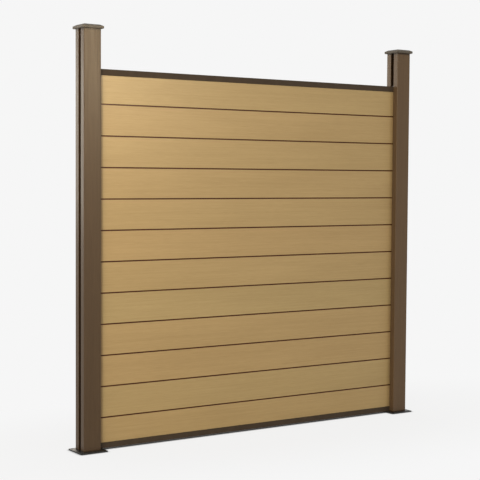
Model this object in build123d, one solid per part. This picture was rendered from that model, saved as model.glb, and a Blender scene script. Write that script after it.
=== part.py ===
from build123d import *
from math import atan2, degrees
import os

# Fence panel of stacked tongue-and-groove boards held in the slots of two posts.
# Millimetres. X runs along the fence, the front faces -Y and Z is up.
# The origin is on the ground, midway between the posts.

# Wall between the posts
CLEAR_WIDTH = 1830.0
BOARD_COUNT = 12
BOARD_END_GAP = 5.0

# Board, an extrusion with closed chambers
BOARD_COVER = 150.0
BOARD_THICK = 20.0
BOARD_SKIN = 4.0
BOARD_WEB = 4.0
BOARD_CHAMBERS = 5
BOARD_CHAMBER_BEVEL = 1.5
BOARD_EDGE_BEVEL = 1.0
TONGUE_THICK = 6.0
TONGUE_HEIGHT = 10.0
TONGUE_CHAMFER = 1.0
TONGUE_CLEAR = 0.3
GROOVE_HEAD_ROOM = 1.0
SHADOW_LINE_HEIGHT = 5.0
SHADOW_LINE_DEPTH = 4.5

# Rails, thin channels that grip the lowest and the highest board
TOP_RAIL_HEIGHT = 30.0
BOTTOM_RAIL_HEIGHT = 28.0
RAIL_WALL = 1.2
RAIL_WEB = 1.6
RAIL_BOARD_CLEAR = 0.3
RAIL_HEAD_ROOM = 2.6
RAIL_RIB_CLEAR = 0.4
RAIL_EDGE_R = 0.8

# Post, an extrusion with a slot on each side and a chamber for the anchor's tube
POST_WIDTH = 90.0
POST_RISE = 184.2
POST_WALL = 5.0
POST_CORNER_R = 3.0
POST_CHAMBER_BEVEL = 1.0
SLOT_DEPTH = 21.0
SLOT_RAIL_CLEAR = 0.5
SLOT_LIP_BEVEL = 1.0

# Post cap, a moulded lid with a bevelled top
CAP_OVERHANG = 11.0
CAP_RIM_HEIGHT = 11.0
CAP_BEVEL_RUN = 15.0
CAP_BEVEL_RISE = 8.0
CAP_WALL = 3.0
CAP_CORNER_R = 4.0
CAP_FOOT_BEVEL = 2.0
CAP_SEAT_WALL = 3.0
CAP_LUG_DEPTH = 14.0
CAP_LUG_WALL = 2.5
CAP_LUG_CLEAR = 0.7

# Anchor under each post, a ground plate with an upright square tube
PLATE_THICK = 6.0
PLATE_CORNER_BEVEL = 2.0
BOLT_HOLE_R = 5.5
BOLT_TO_POST = 12.5
BOLT_TO_EDGE = 12.5
TUBE_HEIGHT = 500.0
TUBE_WALL = 2.5
TUBE_CORNER_R = 4.0
TUBE_CLEAR = 1.0

# Hexagon screws, of one diameter throughout
SCREW_R = 1.75
SCREW_HEAD_WIDTH = 5.5
SCREW_HEAD_HEIGHT = 2.5
SCREW_HOLE_CLEAR = 0.1

# Screws that hold each post on its anchor, one in each slot
ANCHOR_SCREW_HEIGHT = 300.0
ANCHOR_SCREW_LENGTH = 16.0

# Angle bracket at each end of the top rail, inside the slot, with a screw in each leg
BRACKET_WIDTH = 20.0
BRACKET_THICK = 2.0
BRACKET_REACH = 19.0
BRACKET_HEIGHT = 26.0
BRACKET_BEND_R = 1.5
BRACKET_RAIL_SCREW_LENGTH = 5.5
BRACKET_POST_SCREW_LENGTH = 14.0

# How near a vertex lies to the place that it is looked for at
MATCH = 0.01

# Places and sizes that follow from the values above
GROOVE_DEPTH = TONGUE_HEIGHT + GROOVE_HEAD_ROOM
RAIL_WIDTH = BOARD_THICK + 2 * (RAIL_BOARD_CLEAR + RAIL_WALL)
SLOT_WIDTH = RAIL_WIDTH + 2 * SLOT_RAIL_CLEAR
SLOT_FLOOR = POST_WIDTH / 2 - SLOT_DEPTH
CORE_WIDTH = 2 * (SLOT_FLOOR - POST_WALL)
TUBE_WIDTH = CORE_WIDTH - 2 * TUBE_CLEAR
BOLT_SPACING = POST_WIDTH + 2 * BOLT_TO_POST
PLATE_WIDTH = BOLT_SPACING + 2 * BOLT_TO_EDGE
CORNER_CHAMBER_X = POST_WIDTH / 2 - POST_WALL - SLOT_FLOOR
CORNER_CHAMBER_Y = POST_WIDTH / 2 - POST_WALL - (SLOT_WIDTH / 2 + POST_WALL)
CORNER_CHAMBER_CENTRE_X = SLOT_FLOOR + CORNER_CHAMBER_X / 2
CORNER_CHAMBER_CENTRE_Y = SLOT_WIDTH / 2 + POST_WALL + CORNER_CHAMBER_Y / 2
POST_X = (CLEAR_WIDTH + POST_WIDTH) / 2
WALL_LENGTH = CLEAR_WIDTH + 2 * (SLOT_DEPTH - BOARD_END_GAP)
WALL_FOOT = PLATE_THICK + RAIL_WEB
WALL_TOP = WALL_FOOT + BOARD_COUNT * BOARD_COVER
RAIL_TOP = WALL_TOP + TONGUE_HEIGHT + RAIL_HEAD_ROOM + RAIL_WEB
POST_TOP = RAIL_TOP + POST_RISE
BRACKET_LEG_SCREW_X = SLOT_FLOOR + (BRACKET_THICK + BRACKET_REACH) / 2
BRACKET_LEG_SCREW_Z = RAIL_TOP + (BRACKET_THICK + BRACKET_HEIGHT) / 2


def along_fence(section, length):
    """Extrudes a section drawn in Y and Z along X, centred between the posts."""
    return extrude(Plane.YZ.offset(-length / 2) * section, amount=length)


def corners_at(section, x, y):
    """The corners of a section drawn in X and Y that lie at x to either side, at height y."""
    level = [v for v in section.vertices() if abs(v.Y - y) < MATCH]
    return [v for v in level if abs(abs(v.X) - x) < MATCH]


def rectangle_between(left, right, low, high):
    """A rectangle given by its four edges."""
    return Pos((left + right) / 2, (low + high) / 2) * Rectangle(right - left, high - low)


def bevelled(width, height, bevel):
    """A rectangle with bevelled corners."""
    return chamfer(Rectangle(width, height).vertices(), bevel)


def board_section():
    """Tongue on top, groove below, a shadow line at the top of each face, closed chambers."""
    half = BOARD_THICK / 2
    tongue = TONGUE_THICK / 2
    groove = tongue + TONGUE_CLEAR
    landing = half - SHADOW_LINE_DEPTH
    ledge = BOARD_COVER - SHADOW_LINE_HEIGHT
    tongue_top = BOARD_COVER + TONGUE_HEIGHT
    right_side = [
        (groove, GROOVE_DEPTH),
        (groove, 0),
        (half, 0),
        (half, ledge),
        (landing, ledge),
        (landing, BOARD_COVER),
        (tongue, BOARD_COVER),
        (tongue, tongue_top - TONGUE_CHAMFER),
        (tongue - TONGUE_CHAMFER, tongue_top),
    ]
    left_side = [(-y, z) for y, z in reversed(right_side)]
    section = make_face(Polyline(*right_side, *left_side, close=True))
    face_edges = corners_at(section, half, 0) + corners_at(section, half, ledge)
    section = chamfer(face_edges, BOARD_EDGE_BEVEL)

    low = GROOVE_DEPTH + BOARD_SKIN
    high = ledge - BOARD_SKIN
    pitch = (high - low + BOARD_WEB) / BOARD_CHAMBERS
    for number in range(BOARD_CHAMBERS):
        centre = low + pitch * number + (pitch - BOARD_WEB) / 2
        chamber = bevelled(BOARD_THICK - 2 * BOARD_SKIN, pitch - BOARD_WEB, BOARD_CHAMBER_BEVEL)
        section -= Pos(0, centre) * chamber
    return section


def top_rail_section():
    """Channel open below, with two ribs that stand on the highest board beside its tongue."""
    half = RAIL_WIDTH / 2
    foot = RAIL_TOP - TOP_RAIL_HEIGHT
    ceiling = RAIL_TOP - RAIL_WEB
    rib = TONGUE_THICK / 2 + RAIL_RIB_CLEAR
    section = rectangle_between(-half, half, foot, RAIL_TOP)
    section -= rectangle_between(RAIL_WALL - half, half - RAIL_WALL, foot, ceiling)
    section = fillet(corners_at(section, half, RAIL_TOP), RAIL_EDGE_R)
    section += rectangle_between(rib, rib + RAIL_WALL, WALL_TOP, ceiling)
    section += rectangle_between(-rib - RAIL_WALL, -rib, WALL_TOP, ceiling)
    return section


def bottom_rail_section():
    """Channel open above, with a hollow rib that fills the lowest board's groove."""
    half = RAIL_WIDTH / 2
    foot = PLATE_THICK
    top = foot + BOTTOM_RAIL_HEIGHT
    rib = TONGUE_THICK / 2 + TONGUE_CLEAR - RAIL_RIB_CLEAR
    rib_top = WALL_FOOT + TONGUE_HEIGHT
    section = rectangle_between(-half, half, foot, top)
    section -= rectangle_between(RAIL_WALL - half, half - RAIL_WALL, WALL_FOOT, top)
    section = fillet(corners_at(section, half, foot), RAIL_EDGE_R)
    section += rectangle_between(-rib, rib, WALL_FOOT, rib_top)
    section -= rectangle_between(RAIL_WALL - rib, rib - RAIL_WALL, WALL_FOOT, rib_top - RAIL_WALL)
    return section


def post_section():
    """Square section with a slot on each side, a core for the tube and six hollow chambers."""
    half = POST_WIDTH / 2
    section = RectangleRounded(POST_WIDTH, POST_WIDTH, POST_CORNER_R)
    for side in (-1, 1):
        section -= Pos(side * (half - SLOT_DEPTH / 2), 0) * Rectangle(SLOT_DEPTH, SLOT_WIDTH)
    lips = corners_at(section, half, -SLOT_WIDTH / 2) + corners_at(section, half, SLOT_WIDTH / 2)
    section = chamfer(lips, SLOT_LIP_BEVEL)

    section -= bevelled(CORE_WIDTH, CORE_WIDTH, POST_CHAMBER_BEVEL)
    core_wall = CORE_WIDTH / 2 + POST_WALL
    middle_depth = half - POST_WALL - core_wall
    middle = bevelled(CORE_WIDTH, middle_depth, POST_CHAMBER_BEVEL)
    corner = bevelled(CORNER_CHAMBER_X, CORNER_CHAMBER_Y, POST_CHAMBER_BEVEL)
    for front_back in (-1, 1):
        section -= Pos(0, front_back * (core_wall + middle_depth / 2)) * middle
        for side in (-1, 1):
            section -= Pos(side * CORNER_CHAMBER_CENTRE_X, front_back * CORNER_CHAMBER_CENTRE_Y) * corner
    return section


def screw(length):
    """Pointed screw down the Z axis, its hexagon head standing on z 0."""
    profile = Polyline((0, 0), (SCREW_R, 0), (SCREW_R, SCREW_R - length), (0, -length), close=True)
    shank = revolve(Plane.XZ * make_face(profile), Axis.Z)
    head = RegularPolygon(SCREW_HEAD_WIDTH / 2, 6, major_radius=False)
    return shank + extrude(head, SCREW_HEAD_HEIGHT)


def screw_hole(length):
    """Round hole for the shank of such a screw, open past both of its ends."""
    return Cylinder(SCREW_R + SCREW_HOLE_CLEAR, 2 * length)


def anchor_screw_places():
    """Planes on the two slot floors, one for each anchor screw, facing out of the slot."""
    height = PLATE_THICK + ANCHOR_SCREW_HEIGHT
    return [Plane(origin=(side * SLOT_FLOOR, 0, height), z_dir=(side, 0, 0)) for side in (-1, 1)]


def rail_screw_place():
    """Plane on the bracket's lying leg, for the screw into the rail."""
    return Plane(origin=(BRACKET_LEG_SCREW_X, 0, RAIL_TOP + BRACKET_THICK), z_dir=(0, 0, 1))


def post_screw_place():
    """Plane on the bracket's upright leg, for the screw into the post."""
    return Plane(origin=(SLOT_FLOOR + BRACKET_THICK, 0, BRACKET_LEG_SCREW_Z), z_dir=(1, 0, 0))


# The pieces at a post are made about its axis, with the wall on the +X side.


def post():
    """Post with the holes for its anchor screws and for the bracket's screw."""
    body = Pos(0, 0, PLATE_THICK) * extrude(post_section(), POST_TOP - PLATE_THICK)
    for place in anchor_screw_places():
        body -= place * screw_hole(ANCHOR_SCREW_LENGTH)
    body -= post_screw_place() * screw_hole(BRACKET_POST_SCREW_LENGTH)
    return body


def cap_form(inset):
    """Lid form with straight corners, smaller by inset on every side."""
    side = POST_WIDTH + 2 * (CAP_OVERHANG - inset)
    rim_top = CAP_RIM_HEIGHT - inset
    slope = degrees(atan2(CAP_BEVEL_RUN, CAP_BEVEL_RISE))
    top = Plane.XY.offset(rim_top) * Rectangle(side, side)
    return extrude(Rectangle(side, side), rim_top) + extrude(top, CAP_BEVEL_RISE, taper=slope)


def cap():
    """Hollow bevelled lid with a seat ring on the post and a lug in each corner chamber."""
    side = POST_WIDTH + 2 * CAP_OVERHANG
    top = CAP_RIM_HEIGHT + CAP_BEVEL_RISE
    outer = cap_form(0.0) & extrude(RectangleRounded(side, side, CAP_CORNER_R), top)
    outer = chamfer(outer.edges().group_by(Axis.Z)[0], CAP_FOOT_BEVEL)

    seat_hole = POST_WIDTH - 2 * CAP_SEAT_WALL
    seat = Rectangle(POST_WIDTH, POST_WIDTH) - Rectangle(seat_hole, seat_hole)
    lug_x = CORNER_CHAMBER_X - 2 * CAP_LUG_CLEAR
    lug_y = CORNER_CHAMBER_Y - 2 * CAP_LUG_CLEAR
    lug = Rectangle(lug_x, lug_y) - Rectangle(lug_x - 2 * CAP_LUG_WALL, lug_y - 2 * CAP_LUG_WALL)
    inside = extrude(seat, top)
    lugs = Part()
    for front_back in (-1, 1):
        for side in (-1, 1):
            place = Pos(side * CORNER_CHAMBER_CENTRE_X, front_back * CORNER_CHAMBER_CENTRE_Y)
            inside += place * extrude(lug, top)
            lugs += place * extrude(lug, -CAP_LUG_DEPTH)
    lid = (outer - cap_form(CAP_WALL)) + (inside & outer) + lugs
    return Pos(0, 0, POST_TOP) * lid


def anchor():
    """Ground plate with four bolt holes and the tube that stands inside the post."""
    plate = bevelled(PLATE_WIDTH, PLATE_WIDTH, PLATE_CORNER_BEVEL)
    plate -= GridLocations(BOLT_SPACING, BOLT_SPACING, 2, 2) * Circle(BOLT_HOLE_R)
    inner = TUBE_WIDTH - 2 * TUBE_WALL
    tube = RectangleRounded(TUBE_WIDTH, TUBE_WIDTH, TUBE_CORNER_R)
    tube -= bevelled(inner, inner, TUBE_CORNER_R - TUBE_WALL)
    body = extrude(plate, PLATE_THICK) + Pos(0, 0, PLATE_THICK) * extrude(tube, TUBE_HEIGHT)
    for place in anchor_screw_places():
        body -= place * screw_hole(ANCHOR_SCREW_LENGTH)
    return body


def anchor_screws():
    """The screws of one post, as separate solids."""
    return Compound([place * screw(ANCHOR_SCREW_LENGTH) for place in anchor_screw_places()])


def bracket():
    """Angle with one leg on the slot floor and one lying on the rail."""
    foot = RAIL_TOP
    outline = Polyline(
        (SLOT_FLOOR, foot),
        (SLOT_FLOOR + BRACKET_REACH, foot),
        (SLOT_FLOOR + BRACKET_REACH, foot + BRACKET_THICK),
        (SLOT_FLOOR + BRACKET_THICK, foot + BRACKET_THICK),
        (SLOT_FLOOR + BRACKET_THICK, foot + BRACKET_HEIGHT),
        (SLOT_FLOOR, foot + BRACKET_HEIGHT),
        close=True,
    )
    section = make_face(outline)
    bend = corners_at(section, SLOT_FLOOR + BRACKET_THICK, foot + BRACKET_THICK)
    section = fillet(bend, BRACKET_BEND_R)
    body = extrude(Plane.XZ * section, BRACKET_WIDTH / 2, both=True)
    body -= rail_screw_place() * screw_hole(BRACKET_RAIL_SCREW_LENGTH)
    body -= post_screw_place() * screw_hole(BRACKET_POST_SCREW_LENGTH)
    return body


def bracket_screws():
    """The screws of one bracket, as separate solids."""
    return Compound([
        rail_screw_place() * screw(BRACKET_RAIL_SCREW_LENGTH),
        post_screw_place() * screw(BRACKET_POST_SCREW_LENGTH),
    ])


def top_rail(post_frames):
    """Top rail with the hole for the bracket's screw at each end."""
    rail = along_fence(top_rail_section(), WALL_LENGTH)
    hole = rail_screw_place() * screw_hole(BRACKET_RAIL_SCREW_LENGTH)
    for frame in post_frames:
        rail -= frame * hole
    return rail


def build():
    """Every piece by name, in its place."""
    frames = {"left": Pos(-POST_X, 0, 0), "right": Pos(POST_X, 0, 0) * Rot(0, 0, 180)}
    pieces = {
        "top_rail": top_rail(frames.values()),
        "bottom_rail": along_fence(bottom_rail_section(), WALL_LENGTH),
    }
    board = along_fence(board_section(), WALL_LENGTH)
    for number in range(BOARD_COUNT):
        pieces[f"board_{number + 1:02d}"] = Pos(0, 0, WALL_FOOT + number * BOARD_COVER) * board
    at_post = {
        "post": post(),
        "post_cap": cap(),
        "post_anchor": anchor(),
        "anchor_screws": anchor_screws(),
        "rail_bracket": bracket(),
        "bracket_screws": bracket_screws(),
    }
    for side, frame in frames.items():
        for name, piece in at_post.items():
            pieces[f"{side}_{name}"] = frame * piece
    return pieces


os.makedirs("parts", exist_ok=True)
for node_name, node in build().items():
    export_step(node, f"parts/{node_name}.step")
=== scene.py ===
import math

import bpy
from mathutils import Matrix, Vector

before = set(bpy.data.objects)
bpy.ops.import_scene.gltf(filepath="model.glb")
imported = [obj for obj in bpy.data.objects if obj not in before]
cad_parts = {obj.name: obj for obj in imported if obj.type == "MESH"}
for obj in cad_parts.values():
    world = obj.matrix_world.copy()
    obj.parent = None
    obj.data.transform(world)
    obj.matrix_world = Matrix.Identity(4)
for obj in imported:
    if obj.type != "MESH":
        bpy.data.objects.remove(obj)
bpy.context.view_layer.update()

# Camera, fitted to the photograph's edges, in metres and radians
CAMERA_PLACE = Vector((-3.594687, -5.248131, 1.308171))
CAMERA_YAW = 0.588259
CAMERA_PITCH = -0.050155
CAMERA_ROLL = 0.006354
CAMERA_REACH = 200.0
SENSOR_MM = 36.0
FOCAL_PIXELS = 1229.33
PICTURE_PIXELS = 480

# Strength of the even light from all round, and the colours of the lamps' light
FILL_STRENGTH = 0.59
KEY_COLOUR = (1.0, 0.86, 0.68)
FRONT_SHEEN_COLOUR = (1.0, 0.83, 0.56)
SIDE_SHEEN_COLOUR = (1.0, 0.94, 0.82)

# Lamps: name, place, the point that each faces, width and height in metres, watts and colour
LAMPS = (
    ("key", (-1.75, -1.2, 2.05), (-1.5, 0.0, 1.95), 0.3, 1.4, 14.5, KEY_COLOUR),
    ("top", (0.2, -2.2, 3.4), (0.0, 0.0, 1.3), 1.5, 1.5, 8.0, KEY_COLOUR),
    ("back", (0.8, 5.6, 2.6), (0.0, 0.0, 1.0), 2.0, 2.0, 60.0, KEY_COLOUR),
    ("side", (-5.6, -4.7, 2.0), (0.0, 0.0, 1.1), 2.0, 2.0, 135.0, KEY_COLOUR),
)

# Lamps that show only as a sheen on the boards, posts and caps
SHEEN_LAMPS = (
    ("front_sheen", (0.3, -2.7, 2.35), (-0.9, 0.0, 1.9), 0.6, 0.9, 84.0, FRONT_SHEEN_COLOUR),
    ("side_sheen", (-2.4, 2.8, 1.65), (-1.0, 0.0, 1.5), 1.2, 1.3, 30.0, SIDE_SHEEN_COLOUR),
    ("far_sheen", (-1.1, 2.4, 2.1), (0.9, 0.0, 1.95), 1.0, 0.8, 14.0, SIDE_SHEEN_COLOUR),
)

# Background of the photograph and the floor's own paint, as linear greys
BACKGROUND = 0.922
FLOOR_PAINT = 0.8

# Side of the floor, in metres
FLOOR_SIDE = 120.0

# Distances from the middle at which the floor's soft shadow starts to fade and is gone, in metres
SHADOW_NEAR = 0.3
SHADOW_FAR = 1.2

# How much each axis counts in those distances, and how far the shadow lets the floor's paint show
SHADOW_SQUEEZE = (0.4, 1.0, 1.0)
FLOOR_SHADOW_SHARE = 0.1

# Dark rim where a piece stands on the floor: its reach, how steeply it darkens, and its samples
CONTACT_REACH = 0.02
CONTACT_POWER = 3.0
CONTACT_SAMPLES = 8

# Where the recessed surfaces begin, which take painted shade, as distances from the middle of the
# thickness, and their soft edge
BOARD_RECESS = 0.0096
POST_RECESS = 0.0124
RECESS_EDGE = 0.0004

# A post's middle and half side, and how deep into a slot the painted shade grows to full
POST_MIDDLE = 0.960
POST_HALF = 0.045
SLOT_DARK = 0.005

# Ends of a post given painted shade for the shade of its plate and its cap, and how much
SHADED_FOOT = (0.013, 0.008)
SHADED_TOP = (1.995, 2.001)
SHADED_END_SHARE = 0.8

# Ends of the boards' stretch given painted shade for a post's shade, at the left and at the right, and how
# much
SHADED_LEFT = (-0.884, -0.898)
SHADED_LEFT_SHARE = 0.5
SHADED_RIGHT = (0.893, 0.912)
SHADED_RIGHT_SHARE = 0.25

# How much painted light lightens the right post, and the stretch between the posts where that comes in
RIGHT_PAINTED_LIGHT = 1.46
GAIN_STRETCH = (-0.5, 0.5)

# Foot of the lowest board, the height that each board covers, and the line at the top of each
WALL_FOOT = 0.0076
BOARD_COVER = 0.150
LINE_HALF = 0.0025
LINE_MIDDLE = WALL_FOOT - LINE_HALF

# How far a board's face takes painted shade and bounce light beside a line, and the brown tint of that
LINE_SHADE_REACH = 0.0023
LINE_SHADE_TINT = (1.0, 0.82, 0.55)

# Strongest tint that sets one board apart from the next
BOARD_TINT = (1.03, 0.975, 0.97)

# Axes that a grain can run along
ALONG_FENCE = 0
UPWARD = 2

# Stretch of a noise that is alike every way, and how little fibres and clouds change along the grain
EVEN = (1.0, 1.0, 1.0)
FIBRE_DRAW = 0.02
CLOUD_DRAW = 0.15

# Grain of the composite: how fine its fibres, streaks and clouds are, and how much each counts
FIBRE_SCALE = 900.0
STREAK_SCALE = 160.0
CLOUD_SCALE = 9.0
STREAK_SEED = (3.0, 1.0, 2.0)
CLOUD_SEED = (7.0, 5.0, 1.0)
FIBRE_WEIGHT = 0.45
STREAK_WEIGHT = 0.3
CLOUD_WEIGHT = 0.25

# Values between which nearly all of a noise lies
NOISE_LOW = 0.3
NOISE_HIGH = 0.7

# How far a composite's roughness strays, and its relief: the fibres' share, strength and depth
ROUGHNESS_SPREAD = 0.06
FIBRE_RELIEF = 0.5
GRAIN_STRENGTH = 0.35
GRAIN_DEPTH = 0.0004

# Skin of a coated piece: how fine its peel and its clouds are, and the peel's strength and depth
PEEL_SCALE = 1400.0
COAT_CLOUD_SCALE = 30.0
PEEL_STRENGTH = 0.25
PEEL_DEPTH = 0.0002

# Steel: its roughness, and how fine its turning marks are, drawn out upward, their strength and depth
STEEL_ROUGHNESS = 0.32
TURNING_SCALE = 2500.0
TURNING_STRETCH = (1.0, 1.0, 0.05)
TURNING_STRENGTH = 0.2
TURNING_DEPTH = 0.0001

# Sockets of the node that mixes two colours
MIX_SHARE = 0
MIX_FIRST = 6
MIX_SECOND = 7
MIX_RESULT = 2

# Name of the collection of pieces that show the sheen lamps
SHEEN_PIECES = "sheen_pieces"


def linear(red, green, blue):
    """Linear RGBA of a colour given as 0 to 255 screen values, by the sRGB curve."""
    def channel(value):
        value /= 255.0
        return value / 12.92 if value <= 0.04045 else ((value + 0.055) / 1.055) ** 2.4
    return (channel(red), channel(green), channel(blue), 1.0)


class Tree:
    """A material's or the world's node tree, with short calls to fill it."""

    def __init__(self, owner):
        owner.use_nodes = True
        self.tree = owner.node_tree
        self.tree.nodes.clear()

    def fill(self, made, values):
        """Links a node's inputs to the sockets given for them and sets the others to plain values."""
        for name, value in values.items():
            if isinstance(value, bpy.types.NodeSocket):
                self.link(value, made.inputs[name])
            else:
                made.inputs[name].default_value = value

    def node(self, kind, inputs=None, **settings):
        """A new node with its settings and its inputs."""
        made = self.tree.nodes.new(kind)
        for name, value in settings.items():
            setattr(made, name, value)
        self.fill(made, inputs or {})
        return made

    def link(self, source, target):
        """Joins an output to an input."""
        self.tree.links.new(source, target)

    def maths(self, operation, first, second=0.5):
        """One or two numbers worked on."""
        made = self.node("ShaderNodeMath", {0: first, 1: second}, operation=operation)
        return made.outputs[0]

    def vector_maths(self, operation, colour, inputs):
        """A colour's three values worked on together."""
        made = self.node("ShaderNodeVectorMath", {0: colour, **inputs}, operation=operation)
        return made.outputs[0]

    def mix(self, share, first, second):
        """The first colour where the share is 0, the second where it is 1."""
        values = {MIX_SHARE: share, MIX_FIRST: first, MIX_SECOND: second}
        made = self.node("ShaderNodeMix", values, data_type="RGBA")
        return made.outputs[MIX_RESULT]

    def noise(self, scale, stretch, detail, roughness=0.55, seed=(0, 0, 0)):
        """Noise in the object's own metres, stretched along an axis by a small scale there."""
        place = self.node("ShaderNodeTexCoord").outputs["Object"]
        mapped = self.node("ShaderNodeMapping", {"Vector": place, "Location": seed, "Scale": stretch})
        made = self.node(
            "ShaderNodeTexNoise",
            {"Vector": mapped.outputs[0], "Scale": scale, "Detail": detail, "Roughness": roughness},
        )
        return made.outputs["Fac"]

    def ramp(self, value, low, high, start=0.0, end=1.0, **settings):
        """Spreads a stretch of values over 0 to 1, or from a start to an end."""
        limits = {"From Min": low, "From Max": high, "To Min": start, "To Max": end}
        made = self.node("ShaderNodeMapRange", {"Value": value, **limits}, **settings)
        return made.outputs[0]


def surface(name, roughness, specular=0.5):
    """A new material with one principled shader: its tree and its shader."""
    material = bpy.data.materials.new(name)
    tree = Tree(material)
    shader = tree.node("ShaderNodeBsdfPrincipled", {"Roughness": roughness, "Specular IOR Level": specular})
    output = tree.node("ShaderNodeOutputMaterial")
    tree.link(shader.outputs[0], output.inputs["Surface"])
    return material, tree, shader


def add_relief(tree, shader, height, strength, depth):
    """Roughens a surface by a height that changes from place to place."""
    bump = tree.node("ShaderNodeBump", {"Height": height, "Strength": strength, "Distance": depth})
    tree.link(bump.outputs[0], shader.inputs["Normal"])


def coordinates(tree):
    """The three coordinates in the object's own metres, which are the shared frame's."""
    place = tree.node("ShaderNodeTexCoord").outputs["Object"]
    return tree.node("ShaderNodeSeparateXYZ", {0: place}).outputs


def near_middle(tree, depth):
    """1 within that distance of the middle of the thickness."""
    return tree.ramp(tree.maths("ABSOLUTE", coordinates(tree)["Y"]), depth + RECESS_EDGE, depth)


def painted_line_shade(tree):
    """Share of painted shade on a board: 1 on its recessed surfaces and the line to the next one, and less
    where a post would shade it.
    """
    place = coordinates(tree)
    left = tree.maths("MULTIPLY", tree.ramp(place["X"], *SHADED_LEFT), SHADED_LEFT_SHARE)
    right = tree.maths("MULTIPLY", tree.ramp(place["X"], *SHADED_RIGHT), SHADED_RIGHT_SHARE)
    return tree.maths("MAXIMUM", near_middle(tree, BOARD_RECESS), tree.maths("MAXIMUM", left, right))


def painted_slot_shade(tree):
    """Share of painted shade: 1 deep in a post's slots, and less at the ends that its cap and plate shade.
    """
    place = coordinates(tree)
    beside = tree.maths("SUBTRACT", tree.maths("ABSOLUTE", place["X"]), POST_MIDDLE)
    inward = tree.ramp(tree.maths("ABSOLUTE", beside), POST_HALF, POST_HALF - SLOT_DARK)
    slot = tree.maths("MULTIPLY", near_middle(tree, POST_RECESS), inward)
    ends = tree.maths("MAXIMUM", tree.ramp(place["Z"], *SHADED_FOOT), tree.ramp(place["Z"], *SHADED_TOP))
    return tree.maths("MAXIMUM", slot, tree.maths("MULTIPLY", ends, SHADED_END_SHARE))


def painted_light_on_right(tree, colour):
    """The colour, lightened by painted light on the piece at the right."""
    lighter = tree.vector_maths("SCALE", colour, {"Scale": RIGHT_PAINTED_LIGHT})
    return tree.mix(tree.ramp(coordinates(tree)["X"], *GAIN_STRETCH), colour, lighter)


def tinted(tree, colour):
    """The colour with a slight tint of its own on each board."""
    height = tree.maths("SUBTRACT", coordinates(tree)["Z"], WALL_FOOT)
    board = tree.maths("FLOOR", tree.maths("DIVIDE", height, BOARD_COVER))
    chance = tree.node("ShaderNodeTexWhiteNoise", {"W": board}, noise_dimensions="1D").outputs["Value"]
    return tree.mix(chance, colour, tree.vector_maths("MULTIPLY", colour, {1: BOARD_TINT}))


def shaded_by_line(tree, colour):
    """The colour with a painted brown shade, for shade and bounce light, where a board's face meets the
    line to the next one.
    """
    height = tree.maths("SUBTRACT", coordinates(tree)["Z"], LINE_MIDDLE)
    distance = tree.maths("PINGPONG", height, BOARD_COVER / 2)
    brown = tree.vector_maths("MULTIPLY", colour, {1: LINE_SHADE_TINT})
    return tree.mix(tree.ramp(distance, LINE_HALF + LINE_SHADE_REACH, LINE_HALF), colour, brown)


def board_tone_and_shade(tree, colour):
    """The boards' colour with both of its changes: each board's own tint, then the painted shade at the
    edges of the lines.
    """
    return shaded_by_line(tree, tinted(tree, colour))


def drawn_out(along, scale):
    """The stretch of a noise that is drawn out along one axis."""
    stretch = list(EVEN)
    stretch[along] = scale
    return stretch


def composite(name, light, dark, along, roughness, specular, painted_shade, painted_shade_share, tone_and_painted_light):
    """Wood-fibre composite: fine fibres and soft clouds drawn out along one axis."""
    material, tree, shader = surface(name, roughness, specular)
    fibre_stretch = drawn_out(along, FIBRE_DRAW)
    cloud_stretch = drawn_out(along, CLOUD_DRAW)
    fibres = tree.noise(FIBRE_SCALE, fibre_stretch, detail=3.0, roughness=0.6)
    streaks = tree.noise(STREAK_SCALE, fibre_stretch, detail=4.0, roughness=0.6, seed=STREAK_SEED)
    clouds = tree.noise(CLOUD_SCALE, cloud_stretch, detail=3.0, roughness=0.5, seed=CLOUD_SEED)
    grain = tree.maths("MULTIPLY", fibres, FIBRE_WEIGHT)
    grain = tree.maths("ADD", grain, tree.maths("MULTIPLY", streaks, STREAK_WEIGHT))
    grain = tree.maths("ADD", grain, tree.maths("MULTIPLY", clouds, CLOUD_WEIGHT))
    # Each piece's own tone, with the painted shade or painted light that the given function adds
    colour = tone_and_painted_light(tree, tree.mix(tree.ramp(grain, NOISE_LOW, NOISE_HIGH), dark, light))
    # Painted shade: a dark colour laid over recesses, slots and stretches beside the posts, standing in for
    # their shade
    colour = tree.mix(painted_shade_share(tree), colour, painted_shade)
    tree.link(colour, shader.inputs["Base Color"])
    roughest = roughness + ROUGHNESS_SPREAD
    smoothest = roughness - ROUGHNESS_SPREAD
    rough = tree.ramp(streaks, NOISE_LOW, NOISE_HIGH, roughest, smoothest)
    tree.link(rough, shader.inputs["Roughness"])
    relief = tree.maths("ADD", tree.maths("MULTIPLY", fibres, FIBRE_RELIEF), streaks)
    add_relief(tree, shader, relief, GRAIN_STRENGTH, GRAIN_DEPTH)
    return material


def coated(name, colour, shade, roughness, specular=0.5):
    """A powder coat or a moulded skin: an even colour with faint clouds and a fine peel."""
    material, tree, shader = surface(name, roughness, specular)
    peel = tree.noise(PEEL_SCALE, EVEN, detail=2.0)
    clouds = tree.noise(COAT_CLOUD_SCALE, EVEN, detail=3.0)
    mixed = tree.mix(tree.ramp(clouds, NOISE_LOW, NOISE_HIGH), colour, shade)
    tree.link(mixed, shader.inputs["Base Color"])
    add_relief(tree, shader, peel, PEEL_STRENGTH, PEEL_DEPTH)
    return material


def steel(name, bright, dull):
    """Plain stainless steel with fine turning marks."""
    material, tree, shader = surface(name, STEEL_ROUGHNESS)
    shader.inputs["Metallic"].default_value = 1.0
    marks = tree.noise(TURNING_SCALE, TURNING_STRETCH, detail=2.0)
    tree.link(tree.mix(marks, dull, bright), shader.inputs["Base Color"])
    add_relief(tree, shader, marks, TURNING_STRENGTH, TURNING_DEPTH)
    return material


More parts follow.
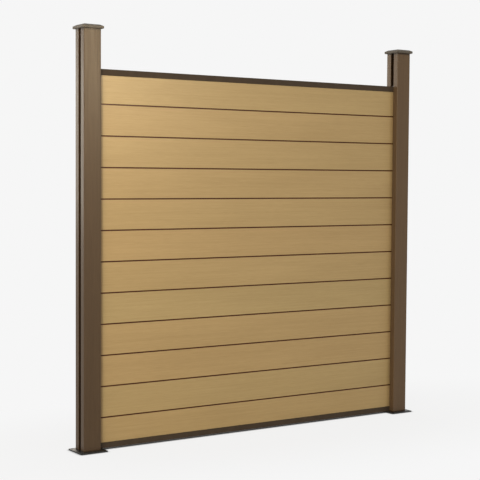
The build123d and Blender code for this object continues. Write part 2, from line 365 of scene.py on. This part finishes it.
def seen_directly(tree):
    """1 for rays that show the background: straight from the camera, mirrored or through glass."""
    path = tree.node("ShaderNodeLightPath")
    seen = tree.maths("MAXIMUM", path.outputs["Is Camera Ray"], path.outputs["Is Glossy Ray"])
    return tree.maths("MAXIMUM", seen, path.outputs["Is Transmission Ray"])


def finish_tree(tree, kind, hidden, shown):
    """Ends a tree with what lights the scene and, for rays that see it directly, what it shows."""
    mix = tree.node("ShaderNodeMixShader", {0: seen_directly(tree)})
    tree.link(hidden.outputs[0], mix.inputs[1])
    tree.link(shown.outputs[0], mix.inputs[2])
    output = tree.node(kind)
    tree.link(mix.outputs[0], output.inputs["Surface"])


def make_world():
    """Even white light from all round, which shows as the photograph's background."""
    world = bpy.data.worlds.new("studio")
    bpy.context.scene.world = world
    tree = Tree(world)
    fill = tree.node("ShaderNodeBackground", {"Color": (1, 1, 1, 1), "Strength": FILL_STRENGTH})
    shown = tree.node("ShaderNodeBackground", {"Color": (BACKGROUND,) * 3 + (1,), "Strength": 1.0})
    finish_tree(tree, "ShaderNodeOutputWorld", fill, shown)


def make_floor():
    """Pale floor that shows as the background and darkens under and close to the object."""
    bpy.ops.mesh.primitive_plane_add(size=FLOOR_SIDE)
    floor = bpy.context.object
    floor.name = "floor"
    material = bpy.data.materials.new("floor_paint")
    tree = Tree(material)
    paint = tree.node("ShaderNodeBsdfDiffuse", {"Color": (FLOOR_PAINT,) * 3 + (1,)})
    place = tree.node("ShaderNodeTexCoord").outputs["Object"]
    squeezed = tree.node("ShaderNodeMapping", {"Vector": place, "Scale": SHADOW_SQUEEZE})
    distance = tree.node("ShaderNodeVectorMath", {0: squeezed.outputs[0]}, operation="LENGTH")
    near = tree.ramp(
        distance.outputs["Value"],
        SHADOW_NEAR,
        SHADOW_FAR,
        FLOOR_SHADOW_SHARE,
        0.0,
        interpolation_type="SMOOTHSTEP",
    )
    contact = tree.node("ShaderNodeAmbientOcclusion", {"Distance": CONTACT_REACH}, samples=CONTACT_SAMPLES)
    open_share = tree.maths("POWER", contact.outputs["AO"], CONTACT_POWER)
    shine = tree.maths("MULTIPLY", open_share, BACKGROUND)
    glow = tree.node("ShaderNodeEmission", {"Color": (1, 1, 1, 1), "Strength": shine})
    shown = tree.node("ShaderNodeMixShader", {0: near})
    tree.link(glow.outputs[0], shown.inputs[1])
    tree.link(paint.outputs[0], shown.inputs[2])
    finish_tree(tree, "ShaderNodeOutputMaterial", paint, shown)
    floor.data.materials.append(material)


def make_lamp(name, place, aim, width, height, watts, colour, sheen_only=False):
    """A soft light at a place, facing a point; sheen_only leaves it to the sheen pieces' reflections."""
    data = bpy.data.lights.new(name, "AREA")
    data.shape = "RECTANGLE"
    data.size = width
    data.size_y = height
    data.energy = watts
    data.color = colour
    lamp = bpy.data.objects.new(name, data)
    lamp.location = place
    lamp.rotation_euler = (Vector(aim) - Vector(place)).to_track_quat("-Z", "Y").to_euler()
    lamp.visible_camera = False
    lamp.visible_diffuse = not sheen_only
    if sheen_only:
        lamp.light_linking.receiver_collection = bpy.data.collections[SHEEN_PIECES]
    bpy.context.scene.collection.objects.link(lamp)


def gather_sheen_pieces():
    """Collects the boards, posts and caps, which alone show the sheen lamps."""
    pieces = bpy.data.collections.new(SHEEN_PIECES)
    for name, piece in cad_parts.items():
        if "board" in name or name.endswith(("post", "cap")):
            pieces.objects.link(piece)


def make_lamps():
    """Every lamp, the sheen ones tied to the pieces that show them."""
    gather_sheen_pieces()
    for lamp in LAMPS:
        make_lamp(*lamp)
    for lamp in SHEEN_LAMPS:
        make_lamp(*lamp, sheen_only=True)


def make_camera():
    """The photograph's camera, from its heading, tilt and roll."""
    flat = math.cos(CAMERA_PITCH)
    ahead = Vector((math.sin(CAMERA_YAW) * flat, math.cos(CAMERA_YAW) * flat, math.sin(CAMERA_PITCH)))
    level = Vector((math.cos(CAMERA_YAW), -math.sin(CAMERA_YAW), 0.0))
    upright = level.cross(ahead)
    right = math.cos(CAMERA_ROLL) * level + math.sin(CAMERA_ROLL) * upright
    up = math.cos(CAMERA_ROLL) * upright - math.sin(CAMERA_ROLL) * level
    data = bpy.data.cameras.new("camera")
    data.sensor_width = SENSOR_MM
    data.lens = SENSOR_MM * FOCAL_PIXELS / PICTURE_PIXELS
    data.clip_end = CAMERA_REACH
    camera = bpy.data.objects.new("camera", data)
    turn = Matrix((right, up, -ahead)).transposed()
    camera.matrix_world = Matrix.Translation(CAMERA_PLACE) @ turn.to_4x4()
    bpy.context.scene.collection.objects.link(camera)
    bpy.context.scene.camera = camera


def dress_frame():
    """Gives every carried-over piece its finish."""
    board = composite(
        "board_composite",
        light=linear(186, 162, 113),
        dark=linear(163, 139, 93),
        along=ALONG_FENCE,
        roughness=0.42,
        specular=0.25,
        # Painted shade in the boards' lines and beside the posts
        painted_shade=linear(72, 24, 0),
        painted_shade_share=painted_line_shade,
        tone_and_painted_light=board_tone_and_shade,
    )
    post = composite(
        "post_composite",
        light=linear(89, 71, 50),
        dark=linear(73, 57, 40),
        along=UPWARD,
        roughness=0.42,
        specular=0.2,
        # Painted shade deep in the slots and at the posts' shaded ends
        painted_shade=linear(46, 32, 18),
        painted_shade_share=painted_slot_shade,
        tone_and_painted_light=painted_light_on_right,
    )
    rail = coated("rail_coating", linear(72, 60, 47), linear(65, 54, 42), roughness=0.6, specular=0.15)
    cap = coated("cap_plastic", linear(97, 90, 79), linear(88, 81, 71), roughness=0.55, specular=0.2)
    anchor = coated("anchor_coating", linear(30, 29, 27), linear(25, 24, 23), roughness=0.45)
    bracket = coated("bracket_coating", linear(40, 36, 32), linear(34, 31, 28), roughness=0.45)
    screw = steel("screw_steel", linear(190, 190, 188), linear(150, 150, 150))

    # The first word that a node's name holds gives its finish
    finishes = (
        ("board", board),
        ("rail_bracket", bracket),
        ("screws", screw),
        ("post_anchor", anchor),
        ("post_cap", cap),
        ("post", post),
        ("rail", rail),
    )
    for name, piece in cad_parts.items():
        finish = next(material for word, material in finishes if word in name)
        piece.data.materials.clear()
        piece.data.materials.append(finish)


bpy.context.scene.view_settings.view_transform = "Standard"
make_camera()
make_world()
make_floor()
make_lamps()
dress_frame()
